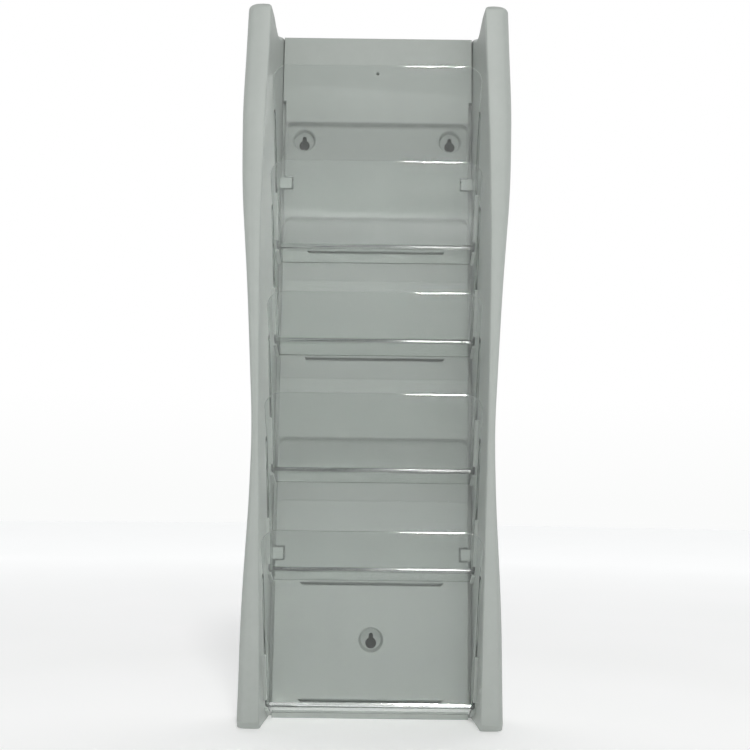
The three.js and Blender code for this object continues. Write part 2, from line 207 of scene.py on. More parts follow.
def turn_forward(bm, forward):
    """Makes the normals agree, and flips them if the value that should be negative, a normal's y
    on the side that faces forward, isn't."""
    bmesh.ops.recalc_face_normals(bm, faces=bm.faces)
    if forward() > 0:
        bmesh.ops.reverse_faces(bm, faces=bm.faces)


def span(sign, near, far):
    """Two distances from the middle, on one side of the object, as x from low to high."""
    return sorted((sign * near, sign * far))


def bar(bm, x0, x1, w0, w1, z0, z1, draft=0.0):
    """A moulded rib from w0 at the front to w1 at the rear, lower there by the draft."""
    rings = []
    for w, z_low, z_high in ((w0, z0, z1), (w1, z0 + draft, z1 - draft)):
        rings.append([place(x, w, z) for x, z in ((x0, z_low), (x1, z_low),
                                                  (x1, z_high), (x0, z_high))])
    prism(bm, *rings)


# ---- Materials ----
def node(tree, kind, **settings):
    made = tree.nodes.new(kind)
    for key, value in settings.items():
        setattr(made, key, value)
    return made


def feed(tree, socket, value):
    """Links a socket, or sets it to a number or a colour."""
    if isinstance(value, bpy.types.NodeSocket):
        tree.links.new(value, socket)
    else:
        socket.default_value = (*value, 1.0) if isinstance(value, tuple) else value


def noise(tree, coords, scale, detail, rough=0.5):
    made = node(tree, "ShaderNodeTexNoise")
    made.inputs["Scale"].default_value = scale
    made.inputs["Detail"].default_value = detail
    made.inputs["Roughness"].default_value = rough
    tree.links.new(coords, made.inputs["Vector"])
    return made.outputs["Fac"]


def stretched(tree, coords, scale, turn=(0.0, 0.0, 0.0)):
    made = node(tree, "ShaderNodeMapping")
    made.inputs["Scale"].default_value = scale
    made.inputs["Rotation"].default_value = turn
    tree.links.new(coords, made.inputs["Vector"])
    return made.outputs["Vector"]


def ramp(tree, value, low, high, out_low, out_high):
    made = node(tree, "ShaderNodeMapRange")
    made.inputs["From Min"].default_value = low
    made.inputs["From Max"].default_value = high
    made.inputs["To Min"].default_value = out_low
    made.inputs["To Max"].default_value = out_high
    tree.links.new(value, made.inputs["Value"])
    return made.outputs["Result"]


def calculate(tree, operation, *values):
    made = node(tree, "ShaderNodeMath", operation=operation)
    for socket, value in zip(made.inputs, values):
        feed(tree, socket, value)
    return made.outputs[0]


def blend(tree, factor, first, second):
    """Mixes two colours, each a socket or a tuple."""
    made = node(tree, "ShaderNodeMix", data_type="RGBA")
    inputs = [s for s in made.inputs if s.type == "RGBA"]
    for socket, value in zip(inputs, (first, second)):
        feed(tree, socket, value)
    tree.links.new(factor, made.inputs["Factor"])
    return [s for s in made.outputs if s.type == "RGBA"][0]


def bump(tree, height, strength, distance, normal=None):
    made = node(tree, "ShaderNodeBump")
    made.inputs["Strength"].default_value = strength
    made.inputs["Distance"].default_value = distance
    tree.links.new(height, made.inputs["Height"])
    if normal is not None:
        tree.links.new(normal, made.inputs["Normal"])
    return made.outputs["Normal"]


def new_material(name, settings):
    """A node material, its tree, its shader with these inputs set, and object coordinates."""
    material = bpy.data.materials.new(name)
    material.use_nodes = True
    tree = material.node_tree
    shader = tree.nodes["Principled BSDF"]
    for socket, value in settings.items():
        shader.inputs[socket].default_value = value
    return material, tree, shader, node(tree, "ShaderNodeTexCoord").outputs["Object"]


def painted_sheet_shade(tree, coords, body, toned, mid_shade):
    """Darkens the middle heights with painted shade, and the colour under the ledges and in the
    crease of each ledge's step with more painted shade. Gives the new colour and the masks under
    the ledges, which also matte the surface as dust."""
    split = node(tree, "ShaderNodeSeparateXYZ")
    tree.links.new(coords, split.inputs["Vector"])

    def band(rise, fall, amount):
        up, down = ([z * MM for z in heights] for heights in (rise, fall))
        return calculate(tree, "MULTIPLY", ramp(tree, split.outputs["Z"], *up, 0.0, amount),
                         ramp(tree, split.outputs["Z"], *down, 1.0, 0.0))
    # Painted shade: the middle heights darkened towards 78 % of the colour, by the given share.
    body = blend(tree, band((125, 240), (610, 705), mid_shade), body, toned(0.78))
    dust_and_shade_masks = []
    for (top, fade, _), amount in zip(LEDGES, LEDGE_SHADE_AND_DUST):
        # Painted shade below each ledge, darkening the colour; its mask also mattes the surface as
        # dust.
        dust = band((top - fade, top - 0.5 * fade), (top + 0.5, top + 3.5), amount)
        # Painted shade in the crease at each ledge's step.
        step_shade = band((top - 4.0, top - 0.5), (top + 1.5, top + 4.5), 0.6)
        body = blend(tree, dust, body, toned(0.70))
        body = blend(tree, step_shade, body, toned(0.50))
        dust_and_shade_masks.append(dust)
    return body, dust_and_shade_masks


def moulded_plastic(name, colour, shade, roughness, mid_shade=0.0):
    """Satin injection-moulded plastic: spark-eroded grain, faint flow marks in a darker shade,
    paler worn edges and dust. The last argument, when set, is the share of painted shade on the
    middle heights, and brings painted shade under the ledges too."""
    material, tree, shader, coords = new_material(name, {
        "IOR": 1.49, "Specular IOR Level": 0.42, "Sheen Weight": 0.04, "Sheen Roughness": 0.5})
    flow = noise(tree, stretched(tree, coords, (1.0, 1.0, 0.28)), 14.0, 3.0, 0.55)
    mottle = noise(tree, coords, 55.0, 4.0, 0.6)
    speck = noise(tree, coords, 900.0, 2.0, 0.6)
    edges = node(tree, "ShaderNodeNewGeometry").outputs["Pointiness"]

    def toned(share):
        return tuple(min(1.0, c * share) for c in colour)
    body = blend(tree, ramp(tree, flow, 0.3, 0.7, 0.0, 1.0), toned(shade), colour)
    for mask, low, high, amount, tone in ((mottle, 0.42, 0.72, 0.55, 1.06),
                                          (speck, 0.60, 0.78, 0.50, 0.90),
                                          (edges, 0.53, 0.62, 0.60, 1.16)):
        body = blend(tree, ramp(tree, mask, low, high, 0.0, amount), body, toned(tone))
    dust_and_shade_masks = []
    # Painted shade on the middle heights and under the ledges.
    if mid_shade:
        body, dust_and_shade_masks = painted_sheet_shade(tree, coords, body, toned, mid_shade)
    tree.links.new(body, shader.inputs["Base Color"])
    rough = calculate(tree, "ADD",
                      ramp(tree, mottle, 0.3, 0.7, roughness - 0.05, roughness + 0.06),
                      ramp(tree, flow, 0.3, 0.7, -0.02, 0.03))
    dust_matting = 0.45
    for dust in dust_and_shade_masks:
        rough = calculate(tree, "MULTIPLY_ADD", dust, dust_matting, rough)
    tree.links.new(rough, shader.inputs["Roughness"])
    grain = bump(tree, noise(tree, coords, 1800.0, 2.0, 0.5), 0.10, 0.00005)
    tree.links.new(bump(tree, flow, 0.20, 0.0005, grain), shader.inputs["Normal"])
    return material


def clear_plastic(name, colour, roughness, clarity=1.0):
    """Polished clear polystyrene, lightly tinted, with smears, dust motes, a thin film in wiped
    streaks and the ripple of a moulded sheet."""
    material, tree, shader, coords = new_material(name, {"IOR": 1.57})
    haze = noise(tree, stretched(tree, coords, (1.0, 1.0, 0.35), (0.0, 0.5, 0.2)), 18.0, 4.0, 0.6)
    dust = noise(tree, coords, 420.0, 2.0, 0.5)
    wiped = stretched(tree, coords, (7.0, 7.0, 60.0), (0.0, -0.45, 0.0))
    streak = noise(tree, wiped, 1.0, 3.0, 0.6)
    ripple = noise(tree, coords, 7.0, 1.5, 0.4)
    dull = tuple(c * 0.975 for c in colour)
    dust_colour = (0.62, 0.65, 0.63)
    tint = blend(tree, ramp(tree, haze, 0.35, 0.75, 0.0, 1.0), colour, dull)
    tint = blend(tree, ramp(tree, dust, 0.70, 0.78, 0.0, 0.35), tint, dust_colour)
    film = calculate(tree, "MULTIPLY", ramp(tree, streak, 0.50, 0.80, 0.0, 1.0),
                     ramp(tree, haze, 0.45, 0.70, 0.15, 1.0))
    for value, socket in ((tint, "Base Color"),
                          (ramp(tree, haze, 0.45, 0.85, roughness, roughness + 0.05), "Roughness"),
                          (ramp(tree, film, 0.0, 1.0, clarity, clarity - 0.035),
                           "Transmission Weight"),
                          (bump(tree, ripple, 0.12, 0.0006), "Normal")):
        tree.links.new(value, shader.inputs[socket])
    return material


side_grey = moulded_plastic("side_plastic_satin", (0.420, 0.450, 0.425), 0.96, 0.46)
back_grey = moulded_plastic("back_plastic_satin", (0.404, 0.434, 0.409), 0.96, 0.54, 1.0)
tray_clear = clear_plastic("tray_clear", (0.862, 0.880, 0.870), 0.010, 0.998)
tray_edge = clear_plastic("tray_edge", (0.93, 0.95, 0.94), 0.05)
# Near-black plastic for the trays' rear edges against the sheet: painted shade.
tray_rear_shade = moulded_plastic("tray_rear_edge_painted_shade", (0.13, 0.14, 0.135), 0.92, 0.55)


# ---- Side panels ----
def measured_panel(name, sign):
    """A CAD side panel's front w and outer half width up its height, smoothed between its
    facets."""
    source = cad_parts[name].data
    tree = BVHTree.FromPolygons([v.co for v in source.vertices],
                                [p.vertices for p in source.polygons])
    step = 3.0
    heights = np.arange(10.0, WAIST_TOP - 6.0, step)
    rim_inner = inner_wall(110)
    outers, fronts = [], []
    for z in heights:
        beside = Vector((sign * 0.3, FACE_Y - 0.02, z * MM))
        outer = abs(tree.ray_cast(beside, Vector((-sign, 0, 0)))[0].x) / MM
        across = rim_inner + 0.35 * (outer - rim_inner)
        ahead = Vector((sign * across * MM, -0.4, z * MM))
        hit = tree.ray_cast(ahead, Vector((0, 1, 0)))[0]
        outers.append(outer)
        fronts.append((FACE_Y - hit.y) / MM)
    reach, sigma = 9, 4.0
    kernel = np.exp(-0.5 * (np.arange(-reach, reach + 1) / sigma) ** 2)
    kernel /= kernel.sum()

    def reader(values):
        """The smoothed values as a function, linear between and beyond them."""
        values = np.array(values)
        low = 2 * values[0] - values[1:reach + 1][::-1]
        high = 2 * values[-1] - values[-reach - 1:-1][::-1]
        values = np.convolve(np.concatenate([low, values, high]), kernel, "valid")
        first, last = (values[1] - values[0]) / step, (values[-1] - values[-2]) / step

        def read(z):
            if z < heights[0]:
                return float(values[0] + first * (z - heights[0]))
            if z > heights[-1]:
                return float(values[-1] + last * (z - heights[-1]))
            return float(np.interp(z, heights, values))
        return read
    return reader(fronts), reader(outers)


def panel_section(front, outer, inset):
    """One horizontal section, open at the wall: inner wall, rim with its two roundings, outer
    wall. The inset narrows the sections that round off the top and the foot."""
    def inner(w):
        return inner_wall(w) + inset * min(max(w / 25, 0), 1)
    width = outer - inner(front)
    big = min(RIM_OUTER_RADIUS, 0.45 * width)
    small = min(RIM_INNER_RADIUS, 0.25 * width)
    deep = front - small + WALL_GAP
    points = [(inner(w), w) for w in -WALL_GAP + deep * np.linspace(0, 1, 18) ** 0.9]
    corner, face = inner(front), front - RIM_CROWN
    for t in quarter(7)[1:]:
        points.append((corner + small * (1 - math.cos(t)), face - small * (1 - math.sin(t))))
    start, end = corner + small, outer - big
    for t in np.linspace(0, 1, 10)[1:-1]:
        points.append((start + (end - start) * t, face + RIM_CROWN * (1 - (2 * t - 1) ** 2)))
    for t in quarter(11):
        points.append((outer - big * (1 - math.sin(t)), face - big * (1 - math.cos(t))))
    return points + [(outer, w) for w in np.linspace(face - big, -WALL_GAP, 16)[1:]]


def side_panel(name, sign):
    """The hollow moulding, as sections stacked from its chamfered foot to its sagging top edge."""
    front_at, outer_at = measured_panel(name, sign)
    foot_front = front_at(0.0) - FOOT_CHAMFER
    straight = WAIST_TOP - TOP_RADIUS
    levels = [(0.0, 0.9), (0.25, 0.4), (0.9, 0.0)]
    levels += [(z, 0.0) for z in (2, 3.5, 5, 6.5, 7.4, 7.8, 8.1, 8.5, 9.2, 11)]
    levels += [(z, 0.0) for z in np.linspace(15, straight, 126)]
    levels += [(straight + TOP_RADIUS * math.sin(t), TOP_RADIUS * (1 - math.cos(t)))
               for t in quarter(9)[1:]]
    bm = bmesh.new()
    rings = []
    for z, inset in levels:
        front = min(front_at(z), foot_front + CHAMFER_SLOPE * z) - inset
        ring = []
        for x, w in panel_section(front, outer_at(min(z, straight)) - inset, inset):
            rise = BACK_RISE * (1 - smoothstep(w, -10, 45)) + RIM_RISE * smoothstep(w, 50, 85)
            lift = float(smoothstep(z, WAIST_TOP - 70, WAIST_TOP) * rise)
            ring.append(bm.verts.new(place(sign * x, w, z + lift)))
        rings.append(ring)
    count = len(rings[0])
    for low, high in zip(rings, rings[1:]):
        for k in range(count - 1):
            bm.faces.new((low[k], low[k + 1], high[k + 1], high[k]))
    for ring in (rings[0], rings[-1]):
        for k in range(count // 2 - 1):
            bm.faces.new((ring[k], ring[k + 1], ring[count - 2 - k], ring[count - 1 - k]))
    turn_forward(bm, lambda: min(bm.faces, key=lambda f: f.calc_center_median().y).normal.y)
    obj = finished(name + "_shell", bm, [side_grey])
    thicken(obj, PANEL_WALL)
    soften(obj, 0.5, 60)
    settle(obj)
    wall = place(0, -WALL_GAP, 0).y
    for vertex in obj.data.vertices:
        vertex.co.y = min(vertex.co.y, wall)
    return obj


def along_pane(index, up, out):
    """The w and z of a point on a tray's pane, this far up from its bend and out in front."""
    return (BEND_W + up * math.sin(LEAN) + out * math.cos(LEAN),
            bend_height(index) + up * math.cos(LEAN) - out * math.sin(LEAN))


def wall_rib(bm, sign, outline):
    """A rib standing on the side panel's inner wall and rooted in it."""
    reach, root = 3.6, 1.0
    prism(bm, [place(sign * (inner_wall(w) - reach), w, z) for w, z in outline],
          [place(sign * (inner_wall(w) + root), w, z) for w, z in outline])


def rails(name, sign):
    """For each tray, a slanted rib in front of its pane and a shelf rib under its floor."""
    bm = bmesh.new()
    near, far, low = 0.4, 2.8, 3.0
    for index in range(len(LEVELS)):
        wall_rib(bm, sign, [along_pane(index, up, out)
                            for up, out in ((8, near), (8, far), (60, far), (60, near))])
        wall_rib(bm, sign, [(w, bend_height(index) - RAIL_SLOPE * (BEND_W - w) - down)
                            for w, down in ((3, near), (3, low), (23.5, low), (23.5, near))])
    return softened(name, bm, side_grey, 0.5, 3)


def bosses(name, sign):
    """Small domed bosses on the inner wall, one above each slot."""
    bm = bmesh.new()
    boss_w, above_slot, count = 60, 24, 28
    for level in LEVELS:
        rings = []
        for radius, out in ((2.6, -0.6), (2.6, 0.25), (2.35, 0.5), (1.7, 0.66), (0.8, 0.7)):
            ring = []
            for t in around(count):
                w, z = boss_w + radius * math.cos(t), level + above_slot + radius * math.sin(t)
                ring.append(place(sign * (inner_wall(w) - out), w, z))
            rings.append(ring)
        prism(bm, *rings)
    return finished(name, bm, [side_grey], 50)


def tongues(name, sign):
    """Snap tongues that bridge the channel, each with a stem and a hook behind it."""
    bm = bmesh.new()
    hook_half = TONGUE_HALF - 2
    bars = ((TONGUE_TIP, INNER_HALF + 1, -0.05, -2.4, TONGUE_HALF),
            (TONGUE_TIP, TONGUE_TIP + 2, -1.5, -7.8, hook_half),
            (TONGUE_TIP - 1.2, TONGUE_TIP + 1, -6.2, -7.8, hook_half))
    for z in TONGUES:
        for near, far, w0, w1, half in bars:
            bar(bm, *span(sign, near, far), w0, w1, z - half, z + half)
    return softened(name, bm, side_grey, 0.35)


def rear_lip(name, sign):
    """The return flange that closes the channel at the wall."""
    bm = bmesh.new()
    clear = 0.4
    bar(bm, *span(sign, NARROW_HALF + clear, INNER_HALF + 0.6),
        -WALL_GAP + PANEL_WALL, -WALL_GAP, clear, SHOULDER - clear)
    return softened(name, bm, side_grey, 0.4)


for side, sign in (("left", -1), ("right", 1)):
    shell = side_panel(f"{side}_side_panel", sign)
    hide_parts(f"{side}_side_panel")
    pieces = [shell, rails(f"{side}_rails", sign), bosses(f"{side}_bosses", sign),
              tongues(f"{side}_tongues", sign), rear_lip(f"{side}_rear_lip", sign)]
    for piece in pieces:
        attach(piece, "frame")


# ---- Back panel ----
def face_depth(x, z):
    """How far the sheet's face is sunk below its plane: a soft step under each ledge, whose
    corners are rounded."""
    margin, corner, step = 1.2, 9.0, 3.4
    edge = NARROW_HALF - margin - np.abs(x)
    inward = np.clip(corner - edge, 0, corner)
    sag = corner - np.sqrt(corner ** 2 - inward ** 2)
    depth = np.zeros_like(x)
    for top, fade, recess in LEDGES:
        below = top + 3.0 - sag - z
        share = smoothstep(below, 0, step) * (1 - smoothstep(below, step, fade))
        depth = np.maximum(depth, recess * share)
    return depth * smoothstep(edge, -margin, margin)


def sunk(x, z):
    """The face depth at one point."""
    return float(face_depth(np.array([x]), np.array([z]))[0])


def polygon_distance(x, z, corners):
    """Signed distance to a polygon's outline, negative inside."""
    best = np.full_like(x, 1e9)
    inside = np.zeros(x.shape, bool)
    for (x0, z0), (x1, z1) in zip(corners, corners[1:] + corners[:1]):
        ex, ez = x1 - x0, z1 - z0
        t = np.clip(((x - x0) * ex + (z - z0) * ez) / (ex * ex + ez * ez), 0, 1)
        best = np.minimum(best, np.hypot(x - x0 - t * ex, z - z0 - t * ez))
        crosses = (z0 > z) != (z1 > z)
        with np.errstate(divide="ignore", invalid="ignore"):
            side_x = x0 + (z - z0) * ex / (ez if ez else 1e-12)
        inside ^= crosses & (x < side_x)
    return np.where(inside, -best, best)


def slot_corners(level):
    """A long slot's outline, narrower at its lower edge."""
    upper, lower = SLOT_HALF, SLOT_HALF - 3
    return [(-upper, level + SLOT_RISE), (-lower, level - SLOT_RISE),
            (lower, level - SLOT_RISE), (upper, level + SLOT_RISE)]


def hole_distance(x, z):
    """Signed distance to the nearest cup mouth, slot or pin hole."""
    d = np.full_like(x, 1e9)
    for cx, cz in KEYHOLES:
        d = np.minimum(d, np.hypot(x - cx, z - cz) - CUP_RADIUS)
    for level in LEVELS:
        d = np.minimum(d, polygon_distance(x, z, slot_corners(level)))
    return np.minimum(d, np.hypot(x, z - PIN_HEIGHT) - PIN_RADIUS)


def notch_distance(x, z):
    """Signed distance to the nearest notch, which runs out past the sheet's side edge."""
    d = np.full_like(x, 1e9)
    for level in TONGUES:
        for s in (-1, 1):
            near, far = span(s, NOTCH_TIP, 115.0)
            low, high = level - NOTCH, level + NOTCH
            box = [(near, low), (far, low), (far, high), (near, high)]
            d = np.minimum(d, polygon_distance(x, z, box))
    return d


def grid_lines(low, high, coarse, features):
    """Sorted lines from low to high: the features, with even steps between them, and none closer
    than 0.05 mm to the last."""
    exact = sorted({round(v, 4) for v in features if low <= v <= high} | {low, high})
    filled = []
    for a, b in zip(exact, exact[1:]):
        steps = max(1, math.ceil((b - a) / coarse))
        filled += [a + (b - a) * k / steps for k in range(steps)]
    lines = np.array(filled + [high])
    return lines[np.concatenate([[True], np.diff(lines) > 0.05])]


def sheet_grid():
    """The sheet's grid of x and z, with lines on every outline and fine steps near round ones."""
    lip = (0.0, 0.12, 0.3, 0.6, 1.1)
    fine = 0.85
    xs, zs = [], []
    for s in (-1, 1):
        for edge, way in ((BACK_WIDE, -1), (NARROW_HALF, -1), (NOTCH_TIP, -1), (SLOT_HALF, 1)):
            xs += [s * (edge + way * v) for v in lip]
        xs += [s * v for v in np.arange(69.0, 95.5, fine)]
        xs += [s * v for v in np.arange(0.0, 15.5, fine)] + [s * v for v in (0.4, 1.2, 1.6, 2.0)]
        xs += [s * v for v in (98, 99.5, 101, 102.2, 103.2, 104, 104.6, 105.2)]
    zs += list(lip) + [BACK_TOP - v for v in lip] + [SHOULDER + v for v in lip]
    for level in LEVELS:
        zs += [level + s * (SLOT_RISE + v) for s in (-1, 1) for v in lip]
        zs += [level, level - 0.8, level + 0.8]
    for level in TONGUES:
        zs += [level + s * (NOTCH + v) for s in (-1, 1) for v in lip]
    for _, cz in (KEYHOLES[0], KEYHOLES[2]):
        zs += list(cz + np.arange(-15.3, 15.4, fine))
    zs += [PIN_HEIGHT + s * v for s in (-1, 1) for v in (0, 0.4, 0.8, 1.2, 1.6, 2.0, 2.4)]
    for top, fade, _ in LEDGES:
        zs += list(top + np.arange(-13.0, 4.0, 0.7)) + list(np.arange(top - fade, top - 13, 2.5))
    return np.meshgrid(grid_lines(-BACK_WIDE, BACK_WIDE, 5.0, xs),
                       grid_lines(0.0, BACK_TOP, 6.0, zs))


def back_sheet():
    """The sheet with its ledges, slots, notches and cup mouths: a grid whose points near a hole
    are moved onto the hole's outline, less the cells inside a hole or a notch."""
    gx, gz = sheet_grid()
    holes = hole_distance(gx, gz)
    near_hole, nudge = 0.25, 0.01
    inside = (holes < near_hole) | (notch_distance(gx, gz) <= 1e-6)
    beside = (np.abs(gx) > NARROW_HALF + 1e-6) & (gz < SHOULDER - 1e-6)
    slope_x = (hole_distance(gx + nudge, gz) - hole_distance(gx - nudge, gz)) / (2 * nudge)
    slope_z = (hole_distance(gx, gz + nudge) - hole_distance(gx, gz - nudge)) / (2 * nudge)
    move = (holes < near_hole) & (holes > -2.0)
    px = np.where(move, gx - holes * slope_x, gx)
    pz = np.where(move, gz - holes * slope_z, gz)
    outline = [(-BACK_WIDE, SHOULDER), (-NARROW_HALF, SHOULDER), (-NARROW_HALF, 0),
               (NARROW_HALF, 0), (NARROW_HALF, SHOULDER), (BACK_WIDE, SHOULDER),
               (BACK_WIDE, BACK_TOP), (-BACK_WIDE, BACK_TOP)]
    edge = np.abs(polygon_distance(px, pz, outline))
    cups = np.min([np.hypot(px - cx, pz - cz) - CUP_RADIUS for cx, cz in KEYHOLES], axis=0)
    rims = np.where(cups < 0.5, 9, np.maximum(hole_distance(px, pz), 0))
    near = np.minimum(np.minimum(edge, np.maximum(notch_distance(px, pz), 0)), rims)
    radius = 0.7
    inward = np.clip(radius - near, 0, radius)
    rounding = radius - np.sqrt(np.maximum(radius ** 2 - inward ** 2, 0))
    depth = face_depth(px, pz) + rounding
    bm = bmesh.new()
    rows, columns = gx.shape
    used = {}

    def vert(r, c):
        if (r, c) not in used:
            used[(r, c)] = bm.verts.new(place(px[r, c], -depth[r, c], pz[r, c]))
        return used[(r, c)]
    for r in range(rows - 1):
        for c in range(columns - 1):
            corners = ((r, c), (r, c + 1), (r + 1, c + 1), (r + 1, c))
            if all(inside[v] for v in corners) or any(beside[v] for v in corners):
                continue
            bm.faces.new([vert(*v) for v in corners])
    bmesh.ops.dissolve_degenerate(bm, edges=bm.edges, dist=0.00002)
    obj = finished("back_sheet", bm, [back_grey], 60)
    thicken(obj, SHEET)
    return settle(obj, 45, weighted=False)


def keyhole_outline(angles):
    """A keyhole as x and z from its cup's middle: a round hole with a narrower slot above it."""
    hole_drop, hole, half, reach = 4.5, 6.0, 2.4, 8.5
    turn = math.asin(half / hole)
    outline = []
    for t in angles:
        r = hole
        if abs(t) < turn:
            across, up = abs(math.sin(t)), reach * math.cos(t)
            r = half / max(across, 1e-6)
            if across * reach <= half:
                r = min(r, up + math.sqrt(max(up * up - reach ** 2 + half ** 2, 0)))
        outline.append((math.sin(t) * r, math.cos(t) * r - hole_drop))
    return outline


def cup(name, cx, cz):
    """A recessed keyhole cup: rounded mouth, conical wall, floor with a keyhole through it. Its
    mouth follows the sheet's ledges and its floor doesn't."""
    mouth_round, floor_round, floor_radius = 1.0, 1.0, 11.5
    floor = WALL_GAP - 2.0
    angles = around(96, -math.pi)
    rings = [(CUP_RADIUS + 0.5, 0.03, 1), (CUP_RADIUS, 0.0, 1)]
    rings += [(CUP_RADIUS - mouth_round * math.sin(t), mouth_round * (1 - math.cos(t)), 1)
              for t in quarter(6)[1:]]
    rings += [(12.6, 3.0, 0.5), (12.0, 6.0, 0.2), (floor_radius, floor - floor_round, 0)]
    rings += [(floor_radius - floor_round * (1 - math.cos(t)),
               floor - floor_round * (1 - math.sin(t)), 0) for t in quarter(6)[1:]]
    bm = bmesh.new()
    loops = []
    for radius, back, follow in rings:
        loop = []
        for t in angles:
            x, z = cx + radius * math.sin(t), cz + radius * math.cos(t)
            loop.append(bm.verts.new(place(x, -back - sunk(x, z) * follow, z)))
        loops.append(loop)
    last = rings[-1][0]
    outline = keyhole_outline(angles)
    for share, back in ((0.45, 0.0), (0.88, 0.0), (0.97, 0.05), (1.0, 0.3)):
        loop = []
        for t, (ox, oz) in zip(angles, outline):
            x = last * math.sin(t) * (1 - share) + ox * share
            z = last * math.cos(t) * (1 - share) + oz * share
            loop.append(bm.verts.new(place(cx + x, -floor - back, cz + z)))
        loops.append(loop)
    skin(bm, loops)
    turn_forward(bm, lambda: sum(f.normal.y for f in bm.faces))
    obj = finished(name, bm, [back_grey], 50)
    thicken(obj, CUP_WALL).use_even_offset = False
    return settle(obj, 50, weighted=False)


def trough(name, outline, depth, wall):
    """A closed groove behind an opening in the sheet, with a softly rounded floor."""
    bm = bmesh.new()
    loops = []
    mx = sum(p[0] for p in outline) / len(outline)
    mz = sum(p[1] for p in outline) / len(outline)

    def drawn_in(v, middle, by):
        return v - math.copysign(min(by, abs(v - middle)), v - middle)
    for back, by in ((2.2, -0.12), (depth - 0.5, 0.0), (depth - 0.15, 0.12), (depth, 0.45)):
        loops.append([bm.verts.new(place(drawn_in(x, mx, by), -back, drawn_in(z, mz, by)))
                      for x, z in outline])
    skin(bm, loops)
    floor = bm.faces.new(loops[-1])
    turn_forward(bm, lambda: floor.normal.y)
    obj = finished(name, bm, [back_grey], 40)
    thicken(obj, wall)
    return settle(obj, 40)


def upright(bm, x0, x1, z0, z1):
    """A vertical wall behind the sheet, down to the wall, its front following the ledges."""
    root = 1.3
    rings = []
    for z in np.linspace(z0, z1, max(2, math.ceil((z1 - z0) / 2.5))):
        front = -max(sunk(x, z) for x in (x0, x1)) - root
        rings.append([place(x, w, z) for x, w in
                      ((x0, front), (x1, front), (x1, -WALL_GAP), (x0, -WALL_GAP))])
    prism(bm, *rings)


def back_frame():
    """Return flanges round the sheet and ribs across its rear, all down to the wall, and the
    plates that close the tongues' pockets."""
    bm = bmesh.new()
    root, rear = -1.2, -WALL_GAP
    bar(bm, -BACK_WIDE, BACK_WIDE, root, rear, BACK_TOP - TOP_FLANGE, BACK_TOP)
    bar(bm, -NARROW_HALF, NARROW_HALF, root, rear, 0, TOP_FLANGE)
    bar(bm, -BACK_WIDE, BACK_WIDE, root, rear, SHOULDER, SHOULDER + TOP_FLANGE)
    cup_z, cup_clear = KEYHOLES[0][1], 15.2
    rib_x, rib_half, rib_thick, pocket_half = 92, 0.9, 1.8, 10.4
    for s in (-1, 1):
        upright(bm, *span(s, NARROW_HALF, NARROW_HALF - FLANGE), 0.5, SHOULDER + 1)
        bar(bm, *span(s, BACK_WIDE, BACK_WIDE - TOP_FLANGE), root, rear,
            SHOULDER + 0.5, BACK_TOP - 0.5)
        for z0, z1 in ((1.0, cup_z - cup_clear), (cup_z + cup_clear, BACK_TOP - 1)):
            upright(bm, s * rib_x - rib_half, s * rib_x + rib_half, z0, z1)
        for z in TONGUES:
            bar(bm, *span(s, 94.0, NARROW_HALF - 0.2), -9.2, -11.4,
                z - pocket_half, z + pocket_half)
    for z in (44, 116, 206, 334, 459, 604, 705):
        bar(bm, -NARROW_HALF + 1, NARROW_HALF - 1, -2.0, rear, z, z + rib_thick, 0.2)
    return softened("back_ribs", bm, back_grey, 0.4)


def slot_outline(level):
    """The slot's outline with its corners cut, as a ring of points."""
    cut = 0.5
    ring = []
    corners = slot_corners(level)
    for k, (x, z) in enumerate(corners):
        for other in (corners[k - 1], corners[(k + 1) % 4]):
            share = cut / math.hypot(other[0] - x, other[1] - z)
            ring.append((x + (other[0] - x) * share, z + (other[1] - z) * share))
    return ring


sheet = back_sheet()
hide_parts("back_panel")
pieces = [sheet, back_frame()]
pieces += [cup(f"keyhole_cup_{k + 1}", *centre) for k, centre in enumerate(KEYHOLES)]
pieces += [trough(f"slot_trough_{k + 1}", slot_outline(level), SLOT_DEPTH, SLOT_WALL)
           for k, level in enumerate(LEVELS)]
pin = [(PIN_RADIUS * math.sin(t), PIN_HEIGHT + PIN_RADIUS * math.cos(t)) for t in around(24)]
pieces.append(trough("pin_hole", pin, PIN_DEPTH, PIN_WALL))
for piece in pieces:
    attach(piece, "frame")


